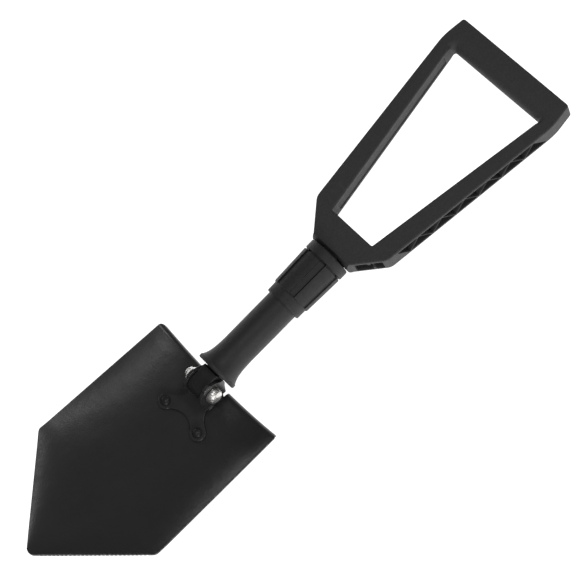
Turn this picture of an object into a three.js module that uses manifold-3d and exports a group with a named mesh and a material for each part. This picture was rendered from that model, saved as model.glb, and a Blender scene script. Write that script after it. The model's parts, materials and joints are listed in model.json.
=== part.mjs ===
// Folding camp shovel: a pointed steel blade and a D-shaped nylon handle, each hinged on one
// end of a steel link bar. A tube slides over the bar, and a screwed collar spreads the two
// hinges apart until both lock. Millimetres, +Z up, +X from the blade towards the grip.
// The model is drawn about the blade hinge and moved at the end, so that the origin is the
// middle of the underside.

import * as THREE from 'three';
import { mergeVertices } from 'three/addons/utils/BufferGeometryUtils.js';
import Module from 'manifold-3d';

const wasm = await Module();
wasm.setup();

// ---------------------------------------------------------------- driving dimensions

const GAP = 0.3;                    // clearance between pieces that rest on each other
const HANDLE_HINGE_X = 175;         // distance between the two hinge pins

// blade: pressed sheet, its concave face up
const BLADE_THICKNESS = 2;
const BLADE_TOP_X = 10.3;           // outer face of the treads, at the hinge
const TOP_SAG = 3.2;                // the corners stand this much further out
const BLADE_LENGTH = 218.6;         // treads to point
const SHOULDER_LENGTH = 140.3;      // treads to the two lower corners
const TOP_HALF_WIDTH = 77.2;
const LOWER_HALF_WIDTH = 81.2;
const TOP_CORNER_RADIUS = 1.5;
const POINT_RADIUS = 7;
const CENTRE_DROP = 22;             // face below the hinge axis at the top
const POINT_RISE = 15.5;            // point above the hinge axis
const CENTRE_POWER = 1.6;           // how late the middle of the blade turns up
const TOP_EDGE_Z = -12.5;           // height of the side edges: top, lower corner
const LOWER_EDGE_Z = 4.1;
const DISH_POWER = 3;               // how late the sides turn up
const TREAD_RADIUS = 5;
const TREAD_DEPTH = 10.5;
const TREAD_START = 0.165;           // share of the half width that the hinge keeps free

// hinge bracket
const EAR_RADIUS = 13;
const EAR_THICKNESS = 3;
const LOCK_REACH = 15;              // locking noses of the ears
const BRACKET_THICKNESS = 2.5;
const STRAP_END_X = 6;
const STRAP_HALF_WIDTH = 12.2;
const STRAP_NECK_X = -13;
const BACK_STRAP_END_X = 2;
const BACK_STRAP_HALF_WIDTH = 11;
const BACK_PLATE_THICKNESS = 2;
const RIVET_X = -33.6;
const RIVET_Y = 21.5;
const RIVET_RADIUS = 2.4;
const RIVET_HEAD_RADIUS = 4.6;
const LOBE_RADIUS = 7.6;
const BRACKET_TILT = 0.072;         // follows the rise of the blade, radians

// pins and link bar
const BLADE_PIN_RADIUS = 5;
const HANDLE_PIN_RADIUS = 4;
const HANDLE_PIN_HALF_LENGTH = 21;
const PIN_HEAD_RADIUS = 7.8;
const WASHER_RADIUS = 7.6;
const LINK_WIDTH = 17;
const LINK_HEIGHT = 12;
const LINK_SHOULDER_X = 14.9;        // the bar is as tall as its blade eye up to here
const BLADE_EYE_RADIUS = 11.5;
const HANDLE_EYE_RADIUS = 7;

// tube, bushes and collar
const TUBE_RADIUS = 15.7;
const TUBE_BORE = 13.3;
const BELL_RADIUS = 20.6;
const BELL_X = 15.7;
const BELL_LIP = 4;
const BELL_MOUTH = 17.2;
const BELL_WALL = 2.4;
const TUBE_END_X = 146.5;
const HANDLE_BUSH_X = 132;
const COLLAR_X = 98.7;
const COLLAR_END_X = 158.5;
const COLLAR_SMALL = 18;
const COLLAR_LARGE = 20.9;
const COLLAR_RIBS = 7;
const FLUTE_WIDTH = 6.2;
const FLUTE_START = 109;
const FLUTE_END = 148.5;
const FLUTE_FLOOR = 18.4;
const FLUTE_TURN = 22;              // first flute, in degrees from the top towards -Y
const THRUST_SEAT_X = 152.8;
const THRUST_SEAT_RADIUS = 17.4;
const THRUST_RING_END_X = 158.7;
const THRUST_RING_BORE = 11.2;

// handle frame
const FRAME_THICKNESS = 20;
const FRAME_EDGE = 1.5;             // bevel of the flat faces
const SHOULDER_RADIUS = 16;         // round shoulder about the handle hinge
const NECK_HALF_WIDTH = 22.3;
const FRAME_SHOULDER = [188.3, 45.4];
const FRAME_CORNER = [370.5, 67.8];
const GRIP_CORNER = [394, 64.8];
const OPENING_START = [188.6, 25.4];
const OPENING_END = [381, 57.2];
const GRIP_INNER_X = 367.5;
const GRIP_INNER_DEPTH = 11.5;       // rounding towards the fingers
const GRIP_OUTER_RADIUS = 6;
const GRIP_HALF_LENGTH = 58.5;
const FLANGE = 2.4;                 // wall left above and below the side pockets
const POCKET_DEPTH = 5.5;
const POCKETS = 12;
const RIB = 1.8;
const SLOT_HALF_WIDTH = 8.8;
const SLOT_TOP = 7.3;

// ---------------------------------------------------------------- materials

const standard = (color, roughness, metalness) =>
  new THREE.MeshStandardMaterial({ color, roughness, metalness });
const paintedSteel = standard(0x242424, 0.45, 0.3);
const tubePaint = standard(0x2d2d2d, 0.6, 0.1);
const nylon = standard(0x353535, 0.65, 0);
const collarNylon = standard(0x303030, 0.55, 0);
const brightSteel = standard(0xc6c5c0, 0.35, 1);
const darkSteel = standard(0x1c1c1c, 0.5, 0.4);

// ---------------------------------------------------------------- solids and placing

const shovel = new THREE.Group();

function add(name, geometry, material) {
  const mesh = new THREE.Mesh(geometry, material);
  mesh.name = name;
  shovel.add(mesh);
  return mesh;
}

function solid(geometry) {
  const bare = geometry.clone();
  bare.deleteAttribute('normal');
  bare.deleteAttribute('uv');
  const merged = mergeVertices(bare, 1e-4);
  return new wasm.Manifold(new wasm.Mesh({
    numProp: 3,
    vertProperties: new Float32Array(merged.attributes.position.array),
    triVerts: new Uint32Array(merged.index.array),
  }));
}

function geometryOf(manifold) {
  const { vertProperties, triVerts } = manifold.getMesh();
  const geometry = new THREE.BufferGeometry();
  geometry.setAttribute('position', new THREE.BufferAttribute(vertProperties, 3));
  geometry.setIndex(new THREE.BufferAttribute(triVerts, 1));
  geometry.computeVertexNormals();
  return geometry;
}

const cut = (body, cutters) =>
  geometryOf(cutters.reduce((rest, cutter) => rest.subtract(solid(cutter)), solid(body)));
const join = (first, ...others) =>
  geometryOf(others.reduce((whole, other) => whole.add(solid(other)), solid(first)));

// Sweeps a flat shape so that its x, its y and the sweep lie along the three given directions.
function sweep(shape, depth, xDirection, yDirection, sweepDirection, centre, edge = 0) {
  const geometry = new THREE.ExtrudeGeometry(shape, {
    depth: depth - 2 * edge,
    bevelEnabled: edge > 0,
    bevelThickness: edge,
    bevelSize: edge,
    bevelOffset: -edge,
    bevelSegments: 1,
    curveSegments: 8,
  });
  geometry.translate(0, 0, edge - depth / 2);
  geometry.applyMatrix4(new THREE.Matrix4().makeBasis(xDirection, yDirection, sweepDirection));
  return geometry.translate(...centre);
}

const X = new THREE.Vector3(1, 0, 0);
const Y = new THREE.Vector3(0, 1, 0);
const Z = new THREE.Vector3(0, 0, 1);
const slab = (shape, height, z, edge) => sweep(shape, height, X, Y, Z, [0, 0, z], edge);
const sidePlate = (shape, width, y) => sweep(shape, width, X, Z, Y.clone().negate(), [0, y, 0]);

// Body of revolution. Profile points are [distance along the axis, radius].
function turned(profile, segments = 40) {
  const points = profile.map(([along, radius]) => new THREE.Vector2(radius, along));
  return new THREE.LatheGeometry(points, segments);
}
const turnedAlongX = (profile, segments) => turned(profile, segments).rotateZ(-Math.PI / 2);
const turnedAlongY = (profile, segments) => turned(profile, segments);
const turnedAlongZ = (profile, segments) => turned(profile, segments).rotateX(Math.PI / 2);

const rodProfile = (from, to, radius) => [[from, 0], [from, radius], [to, radius], [to, 0]];
const rodAlongY = (x, z, halfLength, radius, segments = 24) =>
  turnedAlongY(rodProfile(-halfLength, halfLength, radius), segments).translate(x, 0, z);

// Outline with each corner [x, y, radius] rounded off.
function outline(corners, Target = THREE.Shape) {
  const path = new Target();
  corners.forEach(([x, y, radius = 0], index) => {
    const corner = new THREE.Vector2(x, y);
    const towards = (other) => new THREE.Vector2(other[0], other[1]).sub(corner).normalize();
    const before = corners.at(index - 1);
    const after = corners[(index + 1) % corners.length];
    const enter = towards(before).multiplyScalar(radius).add(corner);
    const leave = towards(after).multiplyScalar(radius).add(corner);
    if (index === 0) path.moveTo(enter.x, enter.y);
    else path.lineTo(enter.x, enter.y);
    if (radius > 0) path.quadraticCurveTo(x, y, leave.x, leave.y);
  });
  path.closePath();
  return path;
}

const mirrored = (corners) =>
  [...corners, ...corners.map(([x, y, radius]) => [x, -y, radius]).reverse()];

const circle = (x, y, radius) => new THREE.Path().absarc(x, y, radius, 0, 2 * Math.PI, true);

const box = (x0, x1, y0, y1, z0, z1) =>
  new THREE.BoxGeometry(x1 - x0, y1 - y0, z1 - z0)
    .translate((x0 + x1) / 2, (y0 + y1) / 2, (z0 + z1) / 2);

// ---------------------------------------------------------------- blade

const mix = THREE.MathUtils.lerp;

// The two lower edges would meet a little past the rounded point.
const POINT_ANGLE = Math.atan(LOWER_HALF_WIDTH / (BLADE_LENGTH - SHOULDER_LENGTH));
const POINT_APEX = BLADE_LENGTH + POINT_RADIUS * (1 / Math.sin(POINT_ANGLE) - 1);
const POINT_START = BLADE_LENGTH - POINT_RADIUS * (1 - Math.sin(POINT_ANGLE));

// Half width, edge height and middle height at a distance s from the treads.
function bladeHalfWidth(s) {
  if (s < SHOULDER_LENGTH) {
    return mix(TOP_HALF_WIDTH, LOWER_HALF_WIDTH, s / SHOULDER_LENGTH);
  }
  const taper = (s - SHOULDER_LENGTH) / (POINT_APEX - SHOULDER_LENGTH);
  return mix(LOWER_HALF_WIDTH, 0, taper);
}

function bladeEdgeZ(s) {
  if (s < SHOULDER_LENGTH) return mix(TOP_EDGE_Z, LOWER_EDGE_Z, s / SHOULDER_LENGTH);
  const taper = (s - SHOULDER_LENGTH) / (BLADE_LENGTH - SHOULDER_LENGTH);
  return mix(LOWER_EDGE_Z, POINT_RISE, taper);
}

const bladeMiddleZ = (s) =>
  (CENTRE_DROP + POINT_RISE) * (s / BLADE_LENGTH) ** CENTRE_POWER - CENTRE_DROP;

function bladeFaceZ(s, y) {
  const across = Math.min(1, Math.abs(y) / Math.max(bladeHalfWidth(s), 1));
  return mix(bladeMiddleZ(s), bladeEdgeZ(s), across ** DISH_POWER);
}

// The top edge is hollow in plan, which fades out down to the lower corners.
function bladeX(s, share) {
  const fade = Math.max(0, 1 - Math.max(0, s - TREAD_RADIUS) / SHOULDER_LENGTH);
  return BLADE_TOP_X - s + TOP_SAG * share ** 2 * fade;
}

// The same half width with the top corners and the point rounded off.
function roundedHalfWidth(s) {
  const fromCorner = TREAD_RADIUS + TOP_CORNER_RADIUS - s;
  const square = bladeHalfWidth(s);
  if (fromCorner > 0) {
    const rounding = TOP_CORNER_RADIUS - Math.sqrt(TOP_CORNER_RADIUS ** 2 - fromCorner ** 2);
    return square - rounding;
  }
  if (s > POINT_START) {
    return Math.sqrt(POINT_RADIUS ** 2 - (s - BLADE_LENGTH + POINT_RADIUS) ** 2);
  }
  return square;
}

// A sheet of grid cells with a front and a back surface, closed along its free edges.
function thickSheet(cells, front, back) {
  const positions = [];
  const triangle = (...points) => points.forEach((point) => positions.push(...point));
  const edges = new Map();
  for (const [row, column] of cells) {
    const ring = [[row, column], [row, column + 1], [row + 1, column + 1], [row + 1, column]];
    const [a, b, c, d] = ring.map((key) => front(...key));
    triangle(a, b, c);
    triangle(a, c, d);
    const [e, f, g, h] = ring.map((key) => back(...key));
    triangle(e, g, f);
    triangle(e, h, g);
    ring.forEach((key, index) => {
      const next = ring[(index + 1) % 4];
      const opposite = `${next}|${key}`;
      if (edges.has(opposite)) edges.delete(opposite);
      else edges.set(`${key}|${next}`, [key, next]);
    });
  }
  for (const [from, to] of edges.values()) {
    triangle(front(...to), front(...from), back(...from));
    triangle(front(...to), back(...from), back(...to));
  }
  const geometry = new THREE.BufferGeometry();
  geometry.setAttribute('position', new THREE.Float32BufferAttribute(positions, 3));
  return mergeVertices(geometry, 1e-4);
}

function bladeGeometry() {
  const span = (from, to, steps) =>
    Array.from({ length: steps }, (_, index) => mix(from, to, (index + 1) / steps));
  const plateRows = [
    TREAD_RADIUS, TREAD_RADIUS + TOP_CORNER_RADIUS / 3, TREAD_RADIUS + TOP_CORNER_RADIUS,
    ...span(TREAD_RADIUS + TOP_CORNER_RADIUS, SHOULDER_LENGTH, 11),
    ...span(SHOULDER_LENGTH, POINT_START, 7),
    ...span(POINT_START, BLADE_LENGTH - 0.05, 3),
  ];
  const half = [0, 0.1, TREAD_START, 0.32, 0.45, 0.58, 0.7, 0.81, 0.91, 1];
  const columns = [...half.slice(1).reverse().map((share) => -share), ...half];
  const bendSteps = 3;
  const treadRows = bendSteps + 1;

  // rows 0..treadRows-1 run up the tread and round its bend, the rest down the plate
  const place = (row, column, inset) => {
    const share = columns[column];
    if (row >= treadRows) {
      const s = plateRows[row - treadRows];
      const y = share * roundedHalfWidth(s);
      return [bladeX(s, share), y, bladeFaceZ(s, y) - inset];
    }
    const y = share * roundedHalfWidth(TREAD_RADIUS);
    const face = bladeFaceZ(TREAD_RADIUS, y);
    if (row === 0) return [bladeX(0, share) - inset, y, face - TREAD_DEPTH];
    const turn = ((row - 1) / bendSteps) * (Math.PI / 2);
    const radius = TREAD_RADIUS - inset;
    const x = bladeX(TREAD_RADIUS, share) + radius * Math.cos(turn);
    return [x, y, face - TREAD_RADIUS + radius * Math.sin(turn)];
  };
  const cells = [];
  for (let row = 0; row < treadRows + plateRows.length - 1; row += 1) {
    for (let column = 0; column < columns.length - 1; column += 1) {
      const middle = Math.abs(columns[column] + columns[column + 1]) / 2;
      if (row >= treadRows || middle > TREAD_START) cells.push([row, column]);
    }
  }
  return thickSheet(
    cells,
    (row, column) => place(row, column, 0),
    (row, column) => place(row, column, BLADE_THICKNESS),
  );
}

const rivetHole = (side) =>
  turnedAlongZ(rodProfile(-40, 0, RIVET_RADIUS + GAP), 20).translate(RIVET_X, side * RIVET_Y, 0);
const rivetHoles = [rivetHole(1), rivetHole(-1)];
add('blade', cut(bladeGeometry(), rivetHoles), paintedSteel);

// ---------------------------------------------------------------- hinge bracket and rivets

// Butterfly outline: a strap under the hinge that spreads into two round rivet lobes.
function butterfly(strapEndX, strapHalfWidth) {
  const radians = THREE.MathUtils.degToRad;
  const shape = new THREE.Shape();
  shape.moveTo(strapEndX, -strapHalfWidth);
  shape.lineTo(strapEndX, strapHalfWidth);
  shape.lineTo(STRAP_NECK_X, strapHalfWidth);
  const lobe = (y, start, end) => {
    const first = [RIVET_X + LOBE_RADIUS * Math.cos(start), y + LOBE_RADIUS * Math.sin(start)];
    shape.quadraticCurveTo(y > 0 ? STRAP_NECK_X - 8 : RIVET_X + 9, y > 0 ? strapHalfWidth : 0, ...first);
    shape.absarc(RIVET_X, y, LOBE_RADIUS, start, end, false);
  };
  lobe(RIVET_Y, radians(40), radians(250));
  lobe(-RIVET_Y, radians(110), radians(320));
  shape.quadraticCurveTo(STRAP_NECK_X - 8, -strapHalfWidth, STRAP_NECK_X, -strapHalfWidth);
  return shape;
}

const tilted = (geometry, topX, topZ) => {
  geometry.translate(-topX, 0, 0);
  geometry.rotateY(BRACKET_TILT);
  return geometry.translate(topX, 0, topZ);
};

function earShape() {
  const nose = 3.5;
  const root = -CENTRE_DROP + BRACKET_THICKNESS + 0.6;
  const side = Math.sqrt(EAR_RADIUS ** 2 - nose ** 2);
  return outline([
    [-EAR_RADIUS, root + 0.7], [EAR_RADIUS - 3, root - 0.6], [EAR_RADIUS, -8],
    [LOCK_REACH, -nose], [LOCK_REACH, nose], [side, nose + 1],
    [9.4, 9.4, 1], [nose + 1, side], [nose, LOCK_REACH], [-nose, LOCK_REACH],
    [-nose - 1, side], [-9.4, 9.4, 1], [-EAR_RADIUS, nose + 1],
  ]);
}

const earY = LINK_WIDTH / 2 + GAP + EAR_THICKNESS / 2;
const bracketBottom = bladeFaceZ(TREAD_RADIUS, 0) + GAP + 0.43;
const bracketPlate = tilted(
  slab(butterfly(STRAP_END_X, STRAP_HALF_WIDTH), BRACKET_THICKNESS, BRACKET_THICKNESS / 2),
  STRAP_END_X, bracketBottom);
const bracket = join(
  bracketPlate,
  sidePlate(earShape(), EAR_THICKNESS, earY),
  sidePlate(earShape(), EAR_THICKNESS, -earY),
);
const bladePinHole = rodAlongY(0, 0, 30, BLADE_PIN_RADIUS + GAP, 32);
add('hinge_bracket', cut(bracket, [bladePinHole, ...rivetHoles]), paintedSteel);

const backPlateTop = bladeFaceZ(BLADE_TOP_X - 2, 0) - BLADE_THICKNESS - GAP - 0.5;
const backPlate = tilted(
  slab(butterfly(BACK_STRAP_END_X, BACK_STRAP_HALF_WIDTH), BACK_PLATE_THICKNESS,
    -BACK_PLATE_THICKNESS / 2),
  BACK_STRAP_END_X, backPlateTop);
add('hinge_back_plate', cut(backPlate, rivetHoles), paintedSteel);

function rivet(side) {
  const face = bladeFaceZ(BLADE_TOP_X - RIVET_X, RIVET_Y);
  const head = face + GAP + BRACKET_THICKNESS + 1.1;
  const tail = face - BLADE_THICKNESS - GAP - 3.4;
  const profile = [
    [tail - 1.8, 0], [tail - 1.8, 2.6], [tail, 4.2], [tail, RIVET_RADIUS],
    [head, RIVET_RADIUS], [head, RIVET_HEAD_RADIUS], [head + 1.4, 4.1], [head + 2.5, 2.4], [head + 2.9, 0],
  ];
  return turnedAlongZ(profile, 20).translate(RIVET_X, side * RIVET_Y, 0);
}
add('rivet_left', rivet(1), darkSteel);
add('rivet_right', rivet(-1), darkSteel);

// ---------------------------------------------------------------- blade pin

const earOuterY = LINK_WIDTH / 2 + GAP + EAR_THICKNESS;
const headY = -earOuterY - GAP;
const washerY = earOuterY + GAP;
add('blade_pin', turnedAlongY([
  [headY - 7.6, 0], [headY - 7.2, 3.4], [headY - 5.6, 6], [headY - 3, 7.6], [headY, PIN_HEAD_RADIUS],
  [headY, BLADE_PIN_RADIUS], [washerY + 5.4, BLADE_PIN_RADIUS - 0.3],
  [washerY + 5.4, 5], [washerY + 7.6, 4.2], [washerY + 9, 0],
], 28), brightSteel);
add('blade_pin_washer', turnedAlongY([
  [washerY, BLADE_PIN_RADIUS + GAP], [washerY, WASHER_RADIUS], [washerY + 2.6, WASHER_RADIUS - 0.2],
  [washerY + 4.6, 6], [washerY + 5.1, BLADE_PIN_RADIUS + GAP], [washerY, BLADE_PIN_RADIUS + GAP],
], 28), brightSteel);

// ---------------------------------------------------------------- link bar

function linkShape() {
  const half = LINK_HEIGHT / 2;
  const handle = Math.asin(half / HANDLE_EYE_RADIUS);
  const shape = new THREE.Shape();
  const neck = LINK_SHOULDER_X - 1.9;
  shape.moveTo(LINK_SHOULDER_X, half);
  shape.quadraticCurveTo(LINK_SHOULDER_X, BLADE_EYE_RADIUS, neck, BLADE_EYE_RADIUS);
  shape.absarc(0, 0, BLADE_EYE_RADIUS, Math.PI / 2, 1.5 * Math.PI, false);
  shape.lineTo(neck, -BLADE_EYE_RADIUS);
  shape.quadraticCurveTo(LINK_SHOULDER_X, -BLADE_EYE_RADIUS, LINK_SHOULDER_X, -half);
  shape.absarc(HANDLE_HINGE_X, 0, HANDLE_EYE_RADIUS, handle - Math.PI, Math.PI - handle, false);
  shape.closePath();
  shape.holes.push(circle(0, 0, BLADE_PIN_RADIUS + GAP));
  shape.holes.push(circle(HANDLE_HINGE_X, 0, HANDLE_PIN_RADIUS + GAP));
  return shape;
}
add('link_bar', sidePlate(linkShape(), LINK_WIDTH, 0), darkSteel);

// ---------------------------------------------------------------- tube and its bushes

const lipEnd = BELL_X + BELL_LIP;
const flare = [0, 3, 6.5, 11, 17, 25].map((run) =>
  [lipEnd + run, TUBE_RADIUS - 0.3 + (BELL_RADIUS - 0.5 - TUBE_RADIUS) * Math.exp(-run / 7)]);
const flareInside = flare.slice(1).reverse()
  .map(([along, radius]) => [along, Math.max(TUBE_BORE, radius - BELL_WALL)]);
add('shaft_tube', turnedAlongX([
  [BELL_X, BELL_MOUTH], [BELL_X, BELL_RADIUS - 0.6], [BELL_X + 0.8, BELL_RADIUS],
  [lipEnd, BELL_RADIUS], ...flare, [TUBE_END_X - 1, TUBE_RADIUS],
  [TUBE_END_X, TUBE_RADIUS - 1], [TUBE_END_X, TUBE_BORE], ...flareInside,
  [lipEnd, BELL_MOUTH], [BELL_X, BELL_MOUTH],
]), tubePaint);

const barHole = (from, to) => {
  const y = LINK_WIDTH / 2 + GAP;
  const z = LINK_HEIGHT / 2 + GAP;
  return box(from, to, -y, y, -z, z);
};
const bush = (from, to, radius) =>
  cut(turnedAlongX(rodProfile(from, to, radius), 32), [barHole(from - 1, to + 1)]);
add('blade_end_bush', bush(BELL_X, lipEnd, BELL_MOUTH - GAP), darkSteel);
add('handle_end_bush', bush(HANDLE_BUSH_X, TUBE_END_X, TUBE_BORE - GAP), darkSteel);

// ---------------------------------------------------------------- locking collar

function flute(index) {
  const half = FLUTE_WIDTH / 2;
  const turn = THREE.MathUtils.degToRad(FLUTE_TURN + (index * 360) / COLLAR_RIBS);
  return box(FLUTE_START, FLUTE_END, -half, half, FLUTE_FLOOR, COLLAR_LARGE + 3).rotateX(turn);
}
const collarBore = TUBE_RADIUS + GAP;
const collarBlank = turnedAlongX([
  [COLLAR_X, collarBore], [COLLAR_X, COLLAR_SMALL - 0.6], [COLLAR_X + 0.8, COLLAR_SMALL],
  [105, COLLAR_SMALL + 0.2], [107, COLLAR_SMALL + 1.3], [150, COLLAR_LARGE - 0.2],
  [151.5, COLLAR_LARGE], [COLLAR_END_X - 0.8, COLLAR_LARGE], [COLLAR_END_X, COLLAR_LARGE - 0.8],
  [COLLAR_END_X, THRUST_SEAT_RADIUS], [THRUST_SEAT_X, THRUST_SEAT_RADIUS],
  [THRUST_SEAT_X, collarBore],
  [COLLAR_X, collarBore],
], 48);
const flutes = Array.from({ length: COLLAR_RIBS }, (_, index) => flute(index));
add('locking_collar', cut(collarBlank, flutes), collarNylon);

const ringStart = THRUST_SEAT_X + GAP;
const ringRadius = THRUST_SEAT_RADIUS - GAP;
add('thrust_ring', turnedAlongX([
  [ringStart, THRUST_RING_BORE], [ringStart, ringRadius], [THRUST_RING_END_X, ringRadius],
  [THRUST_RING_END_X, THRUST_RING_BORE], [ringStart, THRUST_RING_BORE],
], 32), darkSteel);

// ---------------------------------------------------------------- handle frame

// Frame for cutters on a side wall: along the wall, +Z, and out of the wall.
function wallCutter(from, to, shape, depth) {
  const along = new THREE.Vector3(to[0] - from[0], to[1] - from[1], 0).normalize();
  const out = new THREE.Vector3().crossVectors(along, Z);
  const start = new THREE.Vector3(from[0], from[1], 0).addScaledVector(out, 1 - depth / 2);
  return sweep(shape, depth + 2, along, Z, out, start.toArray());
}

// Both side walls get the same cutter; the mirrored wall runs the other way.
function onBothSides(from, to, shapes, depth) {
  const length = Math.hypot(to[0] - from[0], to[1] - from[1]);
  const mirrorWall = ([x, y]) => [x, -y];
  return shapes.flatMap((corners) => [
    wallCutter(mirrorWall(from), mirrorWall(to), outline(corners), depth),
    wallCutter(to, from, outline(corners.map(([l, z]) => [length - l, z]).reverse()), depth),
  ]);
}

function armPockets() {
  const length = Math.hypot(
    FRAME_CORNER[0] - FRAME_SHOULDER[0], FRAME_CORNER[1] - FRAME_SHOULDER[1]);
  const first = 9;
  const pitch = (length - 2 * first) / (POCKETS + 1);
  const height = FRAME_THICKNESS / 2 - FLANGE;
  const triangles = Array.from({ length: POCKETS }, (_, index) => {
    const middle = first + pitch * (index + 1);
    const base = index % 2 === 0 ? height : -height;
    const reach = pitch - RIB / 2;
    const points = [[middle - reach, base], [middle + reach, base], [middle, -base]];
    return base > 0 ? points.reverse() : points;
  });
  return onBothSides(FRAME_SHOULDER, FRAME_CORNER, triangles, POCKET_DEPTH);
}

const neckFoot = [162, NECK_HALF_WIDTH];

function neckPockets() {
  const height = FRAME_THICKNESS / 2 - FLANGE;
  const shapes = [
    [[5, -height], [20.5, -height], [16, height], [5, height]],
    [[23, -height], [30, -height], [30, height], [18.5, height]],
  ];
  return onBothSides(neckFoot, FRAME_SHOULDER, shapes, POCKET_DEPTH);
}

// Shallow channels along the inner walls of the opening.
function innerChannels() {
  const half = 5.2;
  const depth = 2;
  const length = 160;
  const shape = [[8, -half], [length, -half], [length, half], [8, half]];
  const end = [GRIP_INNER_X, 55];
  const along = new THREE.Vector2(end[0] - OPENING_START[0], end[1] - OPENING_START[1]);
  const wallLength = along.length();
  const flipped = shape.map(([l, z]) => [wallLength - l, z]).reverse();
  return [
    wallCutter(OPENING_START, end, outline(shape), depth),
    wallCutter([end[0], -end[1]], [OPENING_START[0], -OPENING_START[1]], outline(flipped), depth),
  ];
}

// D-shaped bar across the end of the frame, rounded towards the fingers.
function gripBar() {
  const half = FRAME_THICKNESS / 2;
  const backX = GRIP_CORNER[0] - GRIP_OUTER_RADIUS;
  const backZ = half - GRIP_OUTER_RADIUS;
  const shape = new THREE.Shape();
  shape.absellipse(GRIP_INNER_X + GRIP_INNER_DEPTH, 0, GRIP_INNER_DEPTH, half,
    Math.PI / 2, (3 * Math.PI) / 2, false);
  shape.lineTo(backX, -half);
  shape.quadraticCurveTo(GRIP_CORNER[0], -half, GRIP_CORNER[0], -backZ);
  shape.lineTo(GRIP_CORNER[0], backZ);
  shape.quadraticCurveTo(GRIP_CORNER[0], half, backX, half);
  shape.closePath();
  return sidePlate(shape, 2 * GRIP_HALF_LENGTH, 0);
}

function frameGeometry() {
  const shoulderX = HANDLE_HINGE_X - SHOULDER_RADIUS;
  const shape = outline(mirrored([
    [shoulderX - 1, NECK_HALF_WIDTH, 0], [neckFoot[0], neckFoot[1], 1.5],
    [...FRAME_SHOULDER, 3.5], [...FRAME_CORNER, 8], [...GRIP_CORNER, 3],
  ]));
  shape.holes.push(outline(
    mirrored([[...OPENING_START, 1.5], [...OPENING_END, 4]]).reverse(), THREE.Path));
  const plate = slab(shape, FRAME_THICKNESS, 0, FRAME_EDGE);
  const half = FRAME_THICKNESS / 2 + 2;
  const endBlock = box(shoulderX - 8, HANDLE_HINGE_X, -60, 60, -half, half);
  const shoulderCutter = cut(endBlock, [rodAlongY(HANDLE_HINGE_X, 0, 70, SHOULDER_RADIUS, 64)]);
  const slot = box(shoulderX - 8, OPENING_START[0] + 3,
    -SLOT_HALF_WIDTH, SLOT_HALF_WIDTH, -half, SLOT_TOP);
  const pinHole = rodAlongY(HANDLE_HINGE_X, 0, 60, HANDLE_PIN_RADIUS + GAP, 24);
  return cut(join(plate, gripBar()), [
    shoulderCutter, slot, pinHole, ...armPockets(), ...neckPockets(), ...innerChannels(),
  ]);
}
add('handle_frame', frameGeometry(), nylon);

// ---------------------------------------------------------------- handle pin

add('handle_pin',
  rodAlongY(HANDLE_HINGE_X, 0, HANDLE_PIN_HALF_LENGTH, HANDLE_PIN_RADIUS), brightSteel);

// ---------------------------------------------------------------- origin at the underside

const bounds = new THREE.Box3().setFromObject(shovel);
const middle = bounds.getCenter(new THREE.Vector3());
shovel.position.set(-middle.x, -middle.y, -bounds.min.z);

export default shovel;
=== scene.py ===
"""Folding camp shovel: the looks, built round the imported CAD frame.

Shapes are drawn in millimetres about the blade hinge pin, with +X towards the grip, +Y to the
left and +Z out of the blade's hollow face, and moved into the row frame at the end.
"""

import json
import math

import bmesh
import bpy
import numpy as np
from mathutils import Matrix, Vector, noise


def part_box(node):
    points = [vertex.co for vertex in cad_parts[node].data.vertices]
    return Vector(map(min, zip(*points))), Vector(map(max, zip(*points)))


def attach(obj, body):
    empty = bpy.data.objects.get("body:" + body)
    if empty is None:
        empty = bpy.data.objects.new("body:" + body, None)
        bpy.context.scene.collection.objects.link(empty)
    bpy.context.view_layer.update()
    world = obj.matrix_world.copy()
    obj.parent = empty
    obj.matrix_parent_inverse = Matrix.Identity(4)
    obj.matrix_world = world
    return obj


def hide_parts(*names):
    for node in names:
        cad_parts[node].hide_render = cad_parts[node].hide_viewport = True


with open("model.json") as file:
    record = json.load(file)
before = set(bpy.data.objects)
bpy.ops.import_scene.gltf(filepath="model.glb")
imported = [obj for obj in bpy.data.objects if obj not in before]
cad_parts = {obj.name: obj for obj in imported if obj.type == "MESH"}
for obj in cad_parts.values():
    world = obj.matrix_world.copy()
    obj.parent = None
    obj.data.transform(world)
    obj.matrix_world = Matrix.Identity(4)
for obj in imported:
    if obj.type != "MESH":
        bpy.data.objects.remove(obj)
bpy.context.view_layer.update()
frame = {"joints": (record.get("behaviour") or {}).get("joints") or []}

MM = 0.001
JOINTS = {joint["name"]: joint for joint in frame["joints"]}
HINGE = Vector(JOINTS["blade_fold"]["pos_m"])
HANDLE_HINGE_X = (JOINTS["handle_fold"]["pos_m"][0] - HINGE.x) / MM


def span(node):
    """Lowest and highest corner of a CAD node, in millimetres about the blade hinge."""
    return tuple((corner - HINGE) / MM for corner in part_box(node))


# ---- driving dimensions

BLADE_LO, BLADE_HI = span("blade")
BLADE_THICKNESS = 2.0
TOP_SAG = 3.2  # the top corners stand this much further out than the middle
TOP_X = BLADE_HI.x - TOP_SAG
RIM_LEAN = 0.45  # the back of the sloping edges stands out this much further than the face
BLADE_LENGTH = TOP_X - BLADE_LO.x - RIM_LEAN
SHOULDER_LENGTH = 140.3  # top edge to the two lower corners
TOP_HALF_WIDTH = 77.2 - RIM_LEAN
LOWER_HALF_WIDTH = BLADE_HI.y - RIM_LEAN
POINT_RADIUS = 7.0
CENTRE_DROP = 22.0
POINT_RISE = BLADE_HI.z
CENTRE_POWER = 1.6
TOP_EDGE_Z = -12.5
LOWER_EDGE_Z = 4.1
DISH_POWER = 3.0
CORNER_REACH = 2.5  # rounding of the lower corners in the outline
EASED_REACH = 14.0  # the same for the hollow, so that no crease starts there
RIM_ROUNDING = 0.55
TREAD_RADIUS = 5.0
TREAD_DEPTH = 10.45
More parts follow.
